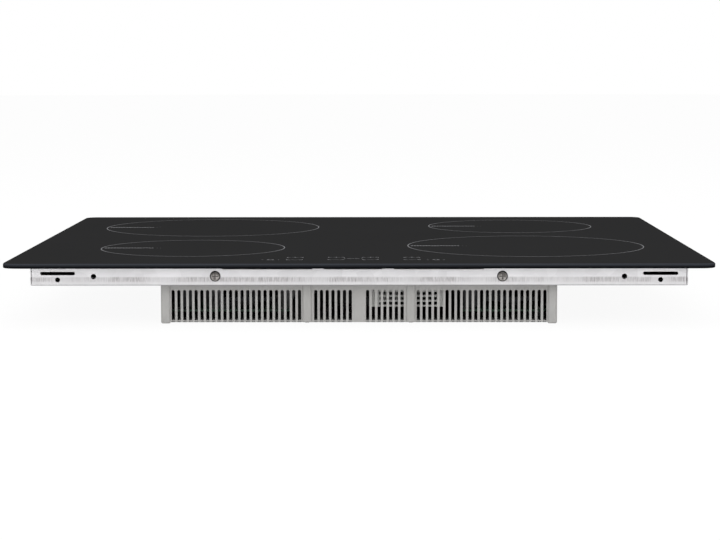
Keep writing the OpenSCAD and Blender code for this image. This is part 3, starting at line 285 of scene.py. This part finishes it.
def makeFloor(settings):
    mesh = bpy.data.meshes.new("floor")
    bm = bmesh.new()
    bmesh.ops.create_circle(
        bm, cap_ends=True, segments=settings["floorSides"], radius=settings["floorRadius"]
    )
    bm.to_mesh(mesh)
    bm.free()
    floor = newObject("floor", mesh)
    mat = bpy.data.materials.new("paleFloor")
    mat.use_nodes = True
    tree = mat.node_tree
    tree.nodes.remove(tree.nodes["Principled BSDF"])
    matt = tree.nodes.new("ShaderNodeBsdfDiffuse")
    matt.inputs["Color"].default_value = settings["floorColour"]
    white = tree.nodes.new("ShaderNodeEmission")
    share = calculate(tree, "MULTIPLY", seenDirectly(tree), settings["floorWhite"])
    share = calculate(tree, "MULTIPLY", share, isBare(tree, settings["shaded"]))
    mixShaders(tree, share, matt.outputs["BSDF"], white.outputs["Emission"])
    mesh.materials.append(mat)


def makeLamps(settings):
    middle = (cadLow + cadHigh) / 2
    for name, at, watts in settings["lamps"]:
        data = bpy.data.lights.new(name, "AREA")
        data.shape = "SQUARE"
        # as bright as the white round it, so that the glass mirrors no edge of a lamp
        data.size = math.sqrt(watts / math.pi)
        data.energy = watts
        lamp = newObject(name, data)
        lamp.location = at
        lamp.rotation_euler = (middle - Vector(at)).to_track_quat("-Z", "Y").to_euler()


makeWorld(studio)
makeFloor(studio)
makeLamps(studio)
bpy.context.scene.view_settings.view_transform = "Standard"
print("studio ready")


# glass plate and its print

glass = {
    "colour": screen(12, 12, 13),
    "smudgeLight": 1.25,      # how much lighter a smudge is
    "smudgeSize": 9,
    "smudgeStops": (0.3, 0.8),
    "rough": (0.3, 0.35, 0.42),      # cleanest, plain, most smudged
    # painted light on the ground edge: a painted highlight at the top, painted shade near black at the
    # bottom
    "groundEdgeHighlightColour": screen(50, 52, 57),
    "edgeShadeColour": screen(10, 11, 13),
    "edgeShadeStops": (0.3, 0.9),
    "sideSlope": (0.98, 0.75),      # upward part of the normal on the face and at the ground edge
    "mirror": 0.022,          # share of the surroundings that the face mirrors at any angle
    "mirrorRough": 0.04,
    "sideMirror": screen(60, 60, 64),
    "topHeight": 0.0535,
    "thickness": 0.004,
}


def makeGlass(s):
    smooth, plain, dull = s["rough"]
    mat, tree, shader = newMaterial("blackGlass", plain, shine=0.0)
    where = place(tree)
    normal = tree.nodes.new("ShaderNodeNewGeometry")
    side = between(tree, axes(tree, normal.outputs["Normal"])["Z"], *s["sideSlope"], 0, 1)
    # ground edge, lighter than the face: a painted highlight towards the top bevel, and painted shade
    # that makes it nearly black at the lower one
    low = s["topHeight"] - s["thickness"]
    edgeShadeRamp = between(tree, axes(tree, where)["Z"], low, s["topHeight"], 0, 1)
    edge = twoTones(tree, edgeShadeRamp, s["edgeShadeStops"], s["edgeShadeColour"], s["groundEdgeHighlightColour"])
    smudge = noise(tree, where, s["smudgeSize"], 4)
    lighter = [c * s["smudgeLight"] for c in s["colour"][:3]] + [1]
    body = twoTones(tree, smudge, s["smudgeStops"], s["colour"], lighter)
    tree.links.new(blendColours(tree, side, body, edge), shader.inputs["Base Color"])
    tree.links.new(between(tree, smudge, *noiseRange, smooth, dull), shader.inputs["Roughness"])
    mirror = tree.nodes.new("ShaderNodeBsdfGlossy")
    mirror.inputs["Roughness"].default_value = s["mirrorRough"]
    tree.links.new(blendColours(tree, side, plainWhite, s["sideMirror"]), mirror.inputs["Color"])
    mixShaders(tree, s["mirror"], shader.outputs["BSDF"], mirror.outputs["BSDF"])
    dress(mat, "glass_plate")


makeGlass(glass)

printInk = {
    # name: colour, darker colour
    "ringInk": (screen(124, 124, 126), screen(98, 98, 101)),
    "keyInk": (screen(158, 158, 160), screen(126, 126, 129)),
}
inkFinish = {"rough": 0.8, "grain": 1400, "stops": (0.35, 0.6), "bump": 0.2, "depth": 0.00002}


def makeInk(name, light, dark, s):
    mat, tree, shader = newMaterial(name, s["rough"], shine=0.0)
    grain = noise(tree, place(tree), s["grain"], 2)
    tree.links.new(twoTones(tree, grain, s["stops"], dark, light), shader.inputs["Base Color"])
    addBump(tree, shader, grain, s["bump"], s["depth"])
    return mat


inks = {name: makeInk(name, *look, inkFinish) for name, look in printInk.items()}
dress(inks["ringInk"], "printed_marks")

# fine print round the touch keys, in millimetres, in the places where the photo shows small marks
keyPrint = {
    "line": 0.45,
    "height": 0.04,
    "cornerDotHeight": 0.06,
    "top": 53.5,
    "frames": [-54.25, -19.3, 9.65, 44.75],    # middles of the framed keys along the panel
    "frameWidth": 13.4,
    "frameRows": (-203.2, -224.4),
    "corner": 3.0,
    "rows": [(-74.4, -224.4), (64.65, -224.4)],    # single keys at the ends
    "rowDots": (-6.8, -1.6, 1.6, 6.8),
    "dot": 1.1,
    "dotSides": 20,
    "chain": [-12.0, -9.4, -6.8, -4.8, -2.8, -0.2, 2.4],    # dots between the two middle frames
    "chainRow": -213.6,
}


def addBar(bm, x, y, w, d, s):
    made = bmesh.ops.create_cube(bm, size=1)["verts"]
    bmesh.ops.scale(bm, vec=(w * mm, d * mm, s["height"] * mm), verts=made)
    bmesh.ops.translate(bm, vec=(x * mm, y * mm, (s["top"] + s["height"] / 2) * mm), verts=made)


def addDot(bm, x, y, h, s):
    radius = s["dot"] / 2 * mm
    made = bmesh.ops.create_cone(
        bm, cap_ends=True, segments=s["dotSides"], radius1=radius, radius2=radius, depth=h * mm
    )["verts"]
    bmesh.ops.translate(bm, vec=(x * mm, y * mm, (s["top"] + h / 2) * mm), verts=made)


def addPiece(bm, name, mat):
    mesh = bpy.data.meshes.new(name)
    bm.to_mesh(mesh)
    bm.free()
    mesh.materials.append(mat)
    piece = newObject(name, mesh)
    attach(piece, "chassis")


def makeKeyPrint(s):
    bm = bmesh.new()
    for x in s["frames"]:
        for y, inward in zip(s["frameRows"], (-1, 1)):
            for side in (-1, 1):
                edge = x + side * s["frameWidth"] / 2
                addBar(bm, edge - side * s["corner"] / 2, y, s["corner"], s["line"], s)
                addBar(bm, edge, y + inward * s["corner"] / 2, s["line"], s["corner"], s)
                addDot(bm, edge - side * s["dot"], y, s["cornerDotHeight"], s)
    for x, y in s["rows"]:
        for step in s["rowDots"]:
            addDot(bm, x + step, y, s["height"], s)
    for x in s["chain"]:
        addDot(bm, x, s["chainRow"], s["height"], s)
    addPiece(bm, "key_print", inks["keyInk"])


makeKeyPrint(keyPrint)

# power scales in the zones, in millimetres, drawn over the plain ticks of the solid print
scalePrint = {
    "zones": [
        # middle x, middle y, radius
        (-149.0, 120.0, 105.8),
        (-149.0, -112.0, 81.6),
        (149.0, 134.0, 81.6),
        (149.0, -91.5, 105.8),
    ],
    "start": 2.4,
    "pitch": 2.6,
    "ticks": 17,
    "tick": (1.35, 3.6),
    "lean": 0.5,
    "narrowing": 0.45,      # share of a tick's depth that is lost towards the end of the scale
    "top": 53.5,
    "height": 0.07,
}


def makeScalePrint(s):
    bm = bmesh.new()
    wide, deep = s["tick"]
    for x, y, radius in s["zones"]:
        for i in range(s["ticks"]):
            middle = x - radius + s["start"] + wide + i * s["pitch"]
            grow = 1 - s["narrowing"] * i / s["ticks"]
            outline = [
                (middle + sx * wide / 2 + sy * grow * s["lean"], y + sy * grow * deep / 2)
                for sx, sy in ((-1, -1), (1, -1), (1, 1), (-1, 1))
            ]
            low, high = [
                [bm.verts.new((a * mm, b * mm, z * mm)) for a, b in outline]
                for z in (s["top"], s["top"] + s["height"])
            ]
            bm.faces.new(low[::-1])
            bm.faces.new(high)
            for k in range(4):
                n = (k + 1) % 4
                bm.faces.new((low[k], low[n], high[n], high[k]))
    addPiece(bm, "scale_print", inks["keyInk"])


makeScalePrint(scalePrint)
print("glass and print done")


# steel tray, brackets, screws and springs

traySteel = {
    "bright": screen(244, 243, 245),
    "dull": screen(226, 225, 227),
    "sheetStops": (0.3, 0.75),
    "spangleSize": 95,
    "spangleShare": 0.35,
    "cloudSize": 38,
    "cloudShare": 0.75,
    "streakLight": screen(212, 210, 211),      # upright rub marks in the lower half of the walls
    "streakDark": screen(162, 159, 161),
    "streakStops": (0.36, 0.62),
    "streakStretch": (900, 900, 110),
    "streakLow": 0.0372,
    "streakHigh": 0.0412,
    "streakFade": (0.0012, 0.0014),      # below and above the band
    "streakRest": 0.15,      # strength that is left below the band
    "patchStretch": (60, 60, 20),      # the rub marks come in patches
    "patchRange": (0.35, 0.6),
    "patchRest": 0.2,
    "lowColour": screen(200, 199, 200),
    "lowShare": 0.6,
    # painted shade along the bottom fold of the walls, where the sheet turns away from the light
    "foldShadeColour": screen(120, 118, 122),
    "foldHeight": 0.0340,
    "foldFade": 0.0003,
    "foldShadeShare": 0.8,
    "lipShadowColour": screen(96, 96, 99),      # painted shadow under the rim of the glass
    "lipHeight": 0.0489,
    "lipFade": 0.0002,
    "lipShadowShare": 0.85,
    "metal": 0.12,
    "rough": (0.42, 0.5, 0.6),      # smoothest, plain, dullest
    "bump": 0.15,
    "depth": 0.0001,
}


def makeTraySteel(s):
    smooth, plain, dull = s["rough"]
    mat, tree, shader = newMaterial("galvanisedSteel", plain, metal=s["metal"])
    where = place(tree)
    height = axes(tree, where)["Z"]
    grey = tree.nodes.new("ShaderNodeRGBToBW")
    tree.links.new(cells(tree, where, s["spangleSize"], "Color"), grey.inputs["Color"])
    cloud = noise(tree, where, s["cloudSize"], 4)
    both = addShares(tree, grey.outputs["Val"], s["spangleShare"], cloud, s["cloudShare"])
    colour = twoTones(tree, both, s["sheetStops"], s["dull"], s["bright"])
    rub = noise(tree, place(tree, s["streakStretch"]), 1, 3, 0.75)
    rubbed = twoTones(tree, rub, s["streakStops"], s["streakDark"], s["streakLight"])
    fadeLow, fadeHigh = s["streakFade"]
    band = between(tree, height, s["streakHigh"], s["streakHigh"] - fadeHigh, 0, 1)
    lowPart = calculate(tree, "MULTIPLY", band, s["lowShare"])
    colour = blendColours(tree, lowPart, colour, s["lowColour"])
    foot = between(tree, height, s["streakLow"] - fadeLow, s["streakLow"], s["streakRest"], 1)
    patch = noise(tree, place(tree, s["patchStretch"]), 1, 2)
    patch = between(tree, patch, *s["patchRange"], s["patchRest"], 1)
    strength = calculate(tree, "MULTIPLY", calculate(tree, "MULTIPLY", band, foot), patch)
    colour = blendColours(tree, strength, colour, rubbed)
    # painted shade at the bottom fold
    foldShade = between(tree, height, s["foldHeight"] + s["foldFade"], s["foldHeight"], 0, s["foldShadeShare"])
    colour = blendColours(tree, foldShade, colour, s["foldShadeColour"])
    # painted shadow on the top of the tray wall, just under the glass rim
    lipShadow = between(tree, height, s["lipHeight"], s["lipHeight"] + s["lipFade"], 0, s["lipShadowShare"])
    colour = blendColours(tree, lipShadow, colour, s["lipShadowColour"])
    tree.links.new(colour, shader.inputs["Base Color"])
    tree.links.new(between(tree, cloud, *noiseRange, smooth, dull), shader.inputs["Roughness"])
    addBump(tree, shader, rub, s["bump"], s["depth"])
    dress(mat, "tray")


makeTraySteel(traySteel)

evenGrain = (300, 300, 300)
metals = {
    # name: colour, darker colour, roughness, stretch of the grain, grain size, nodes
    "zincBracket": ((190, 192, 196), (160, 162, 168), 0.45, (1, 1, 1), 120, ["glass_brackets"]),
    "shieldAluminium": ((188, 190, 194), (168, 170, 175), 0.42, (12, 400, 400), 1, ["shield_plate"]),
    "sinkAluminium": ((52, 53, 56), (38, 39, 42), 0.45, (600, 12, 600), 1,
        ["left_heat_sink", "right_heat_sink"]),
    "steelPin": ((168, 170, 174), (140, 142, 147), 0.3, (900, 900, 90), 1,
        ["guide_pins", "motor_shaft"]),
    "bearingSteel": ((158, 161, 165), (120, 123, 128), 0.3, (500, 500, 500), 1, ["motor_bearings"]),
    "springSteel": ((150, 152, 156), (110, 112, 117), 0.32, (700, 700, 700), 1, ofEachCoil("springs")),
    "zincScrew": ((170, 168, 166), (128, 126, 126), 0.4, evenGrain, 1,
        ["shield_screws", "housing_screws", "board_screws"]),
    "magnetSteel": ((66, 66, 70), (48, 48, 52), 0.45, evenGrain, 1, ["motor_magnet"]),
}
metalFinish = {
    "metal": 0.75,
    "stops": (0.3, 0.7),
    "roughSpread": (0.08, 0.12),      # how far the roughness goes below and above its value
    "bump": 0.3,
    "depth": 0.00006,
}


def makeMetals(table, s):
    under, over = s["roughSpread"]
    for name, (light, dark, rough, stretch, size, where) in table.items():
        mat, tree, shader = newMaterial(name, rough, metal=s["metal"])
        grain = noise(tree, place(tree, stretch), size, 4, 0.6)
        colour = twoTones(tree, grain, s["stops"], screen(*dark), screen(*light))
        tree.links.new(colour, shader.inputs["Base Color"])
        uneven = between(tree, grain, *noiseRange, rough - under, rough + over)
        tree.links.new(uneven, shader.inputs["Roughness"])
        addBump(tree, shader, grain, s["bump"], s["depth"])
        dress(mat, *where)


makeMetals(metals, metalFinish)


def makeSoftSprings():
    for coil in coils:
        solid = nodes[coil + "_springs"]
        piece = newObject(coil + "_soft_springs", solid.data.copy())
        piece.matrix_world = solid.matrix_world.copy()
        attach(piece, "chassis")
        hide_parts(coil + "_springs")
        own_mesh(piece)


makeSoftSprings()

trayScrew = {
    "head": screen(176, 172, 168),
    "dull": screen(120, 116, 113),
    "stops": (0.35, 0.6),
    # painted shade: near-black colour for the cross recess and the foot of the head
    "cross": screen(24, 22, 21),
    "wallX": 0.274,           # outer faces of the tray's walls
    "wallY": 0.241,
    "recess": 0.0011,         # height above the wall below which a head is painted dark as shade, in the cross recess and round the foot of the head
    "recessFade": 0.0002,
    "grain": 500,
    "rough": 0.36,
    "metal": 0.5,
    "bump": 0.3,
    "depth": 0.00006,
}


def makeTrayScrews(s):
    mat, tree, shader = newMaterial("trayScrew", s["rough"], metal=s["metal"])
    where = place(tree)
    split = axes(tree, where)
    grain = noise(tree, where, s["grain"], 3)
    colour = twoTones(tree, grain, s["stops"], s["dull"], s["head"])
    pastX = calculate(tree, "SUBTRACT", calculate(tree, "ABSOLUTE", split["X"]), s["wallX"])
    pastY = calculate(tree, "SUBTRACT", calculate(tree, "ABSOLUTE", split["Y"]), s["wallY"])
    out = calculate(tree, "MAXIMUM", pastX, pastY)
    # painted shade deep in the cross and close to the wall
    deep = between(tree, out, s["recess"], s["recess"] - s["recessFade"], 0, 1)
    tree.links.new(blendColours(tree, deep, colour, s["cross"]), shader.inputs["Base Color"])
    addBump(tree, shader, grain, s["bump"], s["depth"])
    dress(mat, "bracket_screws")


makeTrayScrews(trayScrew)
print("tray and metal pieces done")


# moulded plastics, rubber and foam

plastics = {
    # name: colour, darker colour, roughness, grain per metre, grain depth, nodes
    "darkPlastic": ((44, 45, 46), (34, 35, 36), 0.6, 900, 0.00004,
        ["blower_casing", "blower_cover"]),
    "whitePlastic": ((228, 228, 224), (218, 218, 213), 0.45, 700, 0.00003,
        ["ui_carrier", "impeller"]),
    "creamPlastic": ((214, 208, 192), (202, 196, 179), 0.55, 700, 0.00004,
        ["terminal_block", *ofEachCoil("carrier"), *ofEachCoil("sensor")]),
    "blackPlastic": ((34, 34, 36), (26, 26, 28), 0.42, 800, 0.00003,
        ["display_modules", "power_transistors"]),
    "blackRubber": ((38, 38, 39), (28, 28, 29), 0.75, 600, 0.00005, ["touch_pads"]),
    "foamSeal": ((44, 44, 46), (26, 26, 27), 0.9, 1500, 0.0002, ["seal_tape"]),
    "silicone": ((66, 66, 69), (52, 52, 55), 0.35, 180, 0.0002, ["silicone_pads"]),
    "greyCase": ((62, 64, 68), (50, 52, 56), 0.4, 500, 0.00003, ["film_capacitors"]),
    "blueCase": ((48, 64, 92), (38, 52, 78), 0.4, 500, 0.00003, ["relays"]),
    "darkFerrite": ((70, 70, 73), (46, 46, 49), 0.6, 1600, 0.00008, ofEachCoil("ferrites")),
}
plasticFinish = {
    "shine": 0.35,
    "cloudShare": 0.7,
    "grainShare": 0.3,
    "cloudToGrain": 18,      # how many times wider a cloud is than a grain
    "stops": (0.35, 0.65),
    "roughSpread": (0.06, 0.1),
    "bump": 0.35,
}


def makePlastics(table, s):
    under, over = s["roughSpread"]
    for name, (light, dark, rough, size, depth, where) in table.items():
        mat, tree, shader = newMaterial(name, rough, shine=s["shine"])
        spot = place(tree)
        cloud = noise(tree, spot, size / s["cloudToGrain"], 3)
        grain = noise(tree, spot, size, 2)
        both = addShares(tree, cloud, s["cloudShare"], grain, s["grainShare"])
        colour = twoTones(tree, both, s["stops"], screen(*dark), screen(*light))
        tree.links.new(colour, shader.inputs["Base Color"])
        uneven = between(tree, grain, *noiseRange, rough - under, rough + over)
        tree.links.new(uneven, shader.inputs["Roughness"])
        addBump(tree, shader, grain, s["bump"], depth)
        dress(mat, *where)


makePlastics(plastics, plasticFinish)

housing = {
    "light": screen(167, 166, 164),
    "dark": screen(158, 157, 155),
    "grain": 900,
    "cloud": 50,
    "rough": 0.5,
    "depth": 0.00004,
    "inside": screen(22, 22, 23),     # painted shade: the inner faces are near black for the shade inside the housing
    "halfWidth": 0.1645,              # where the painted shade begins behind the outer faces
    "front": -0.2249,
    "back": 0.0995,
    "low": 0.0019,
    "fade": 0.0002,
}


def makeHousing(s, finish):
    mat, tree, shader = newMaterial("greyPlastic", s["rough"], shine=finish["shine"])
    spot = place(tree)
    split = axes(tree, spot)
    grain = noise(tree, spot, s["grain"], 2)
    cloud = noise(tree, spot, s["cloud"], 3)
    both = addShares(tree, cloud, finish["cloudShare"], grain, finish["grainShare"])
    colour = twoTones(tree, both, finish["stops"], s["dark"], s["light"])
    wide = calculate(tree, "ABSOLUTE", split["X"])
    fade = s["fade"]
    # painted shade on the inner faces of the housing
    shadedInside = between(tree, wide, s["halfWidth"], s["halfWidth"] - fade, 0, 1)
    limits = [
        ("Y", s["front"], s["front"] + fade),
        ("Y", s["back"], s["back"] - fade),
        ("Z", s["low"] - fade, s["low"]),
    ]
    for axis, start, end in limits:
        shadedInside = calculate(tree, "MULTIPLY", shadedInside, between(tree, split[axis], start, end, 0, 1))
    tree.links.new(blendColours(tree, shadedInside, colour, s["inside"]), shader.inputs["Base Color"])
    addBump(tree, shader, grain, finish["bump"], s["depth"])
    dress(mat, "housing")


makeHousing(housing, plasticFinish)

fingerGuard = {
    "light": screen(226, 226, 223),
    "dark": screen(208, 208, 205),
    "grain": 700,
    "rough": 0.5,
    "bump": 0.3,
    "depth": 0.00004,
}


def makeFingerGuard(s, finish):
    mat, tree, shader = newMaterial("guardPlastic", s["rough"], shine=finish["shine"])
    grain = noise(tree, place(tree), s["grain"], 3)
    colour = twoTones(tree, grain, finish["stops"], s["dark"], s["light"])
    tree.links.new(colour, shader.inputs["Base Color"])
    addBump(tree, shader, grain, s["bump"], s["depth"])
    dress(mat, "blower_guard")


makeFingerGuard(fingerGuard, plasticFinish)
print("plastics done")


# circuit boards, windings, mica and motor

boards = {
    "mask": screen(16, 50, 32),
    "maskDark": screen(11, 38, 24),
    "track": screen(26, 66, 42),
    "trackPattern": {"Scale": 60, "Mortar Size": 0.06, "Brick Width": 0.55, "Row Height": 0.24},
    "stainSize": 70,
    "stainRange": (0.4, 0.7),
    "stainShare": 0.4,
    "rough": 0.35,
    "shine": 0.4,
    "bump": 0.3,
    "depth": 0.00005,
    "nodes": ["ui_board", "left_power_board", "right_power_board", "filter_board"],
}


def makeBoards(s):
    mat, tree, shader = newMaterial("circuitBoard", s["rough"], shine=s["shine"])
    where = place(tree)
    # copper tracks under the green lacquer
    tracks = tree.nodes.new("ShaderNodeTexBrick")
    tree.links.new(where, tracks.inputs["Vector"])
    for name, value in s["trackPattern"].items():
        tracks.inputs[name].default_value = value
    for name, colour in (("Color1", "mask"), ("Color2", "maskDark"), ("Mortar", "track")):
        tracks.inputs[name].default_value = s[colour]
    stain = noise(tree, where, s["stainSize"], 3)
    stain = between(tree, stain, *s["stainRange"], 0, s["stainShare"])
    colour = blendColours(tree, stain, tracks.outputs["Color"], s["maskDark"])
    tree.links.new(colour, shader.inputs["Base Color"])
    addBump(tree, shader, tracks.outputs["Fac"], s["bump"], s["depth"])
    dress(mat, *s["nodes"])


makeBoards(boards)

windings = {
    "copper": screen(188, 120, 66),
    "copperDark": screen(132, 78, 40),
    "stops": (0.35, 0.62),
    "strand": 1900,
    "strandShare": 0.7,
    "cloud": 40,
    "cloudShare": 0.3,
    "rough": 0.38,
    "metal": 0.6,
    "bump": 0.6,
    "depth": 0.0002,
    "nodes": [*ofEachCoil("winding"), "motor_stator", "filter_choke"],
}


def makeWindings(s):
    mat, tree, shader = newMaterial("woundCopper", s["rough"], metal=s["metal"])
    where = place(tree)
    strand = noise(tree, where, s["strand"], 2, 0.6)
    cloud = noise(tree, where, s["cloud"], 2)
    both = addShares(tree, strand, s["strandShare"], cloud, s["cloudShare"])
    colour = twoTones(tree, both, s["stops"], s["copperDark"], s["copper"])
    tree.links.new(colour, shader.inputs["Base Color"])
    addBump(tree, shader, strand, s["bump"], s["depth"])
    dress(mat, *s["nodes"])


makeWindings(windings)

micaSheet = {
    "light": screen(206, 190, 156),
    "dark": screen(176, 156, 118),
    "stops": (0.25, 0.7),
    "flake": 130,
    "flakeShare": 0.5,
    "fine": 400,
    "fineShare": 0.6,
    "rough": 0.4,
    "shine": 0.6,
    "bump": 0.25,
    "depth": 0.00005,
}


def makeMica(s):
    mat, tree, shader = newMaterial("mica", s["rough"], shine=s["shine"])
    where = place(tree)
    flake = cells(tree, where, s["flake"])
    fine = noise(tree, where, s["fine"], 3)
    both = addShares(tree, flake, s["flakeShare"], fine, s["fineShare"])
    colour = twoTones(tree, both, s["stops"], s["dark"], s["light"])
    tree.links.new(colour, shader.inputs["Base Color"])
    addBump(tree, shader, both, s["bump"], s["depth"])
    dress(mat, *ofEachCoil("mica"))


makeMica(micaSheet)
print("inner pieces done")


# the end

print("scene built")
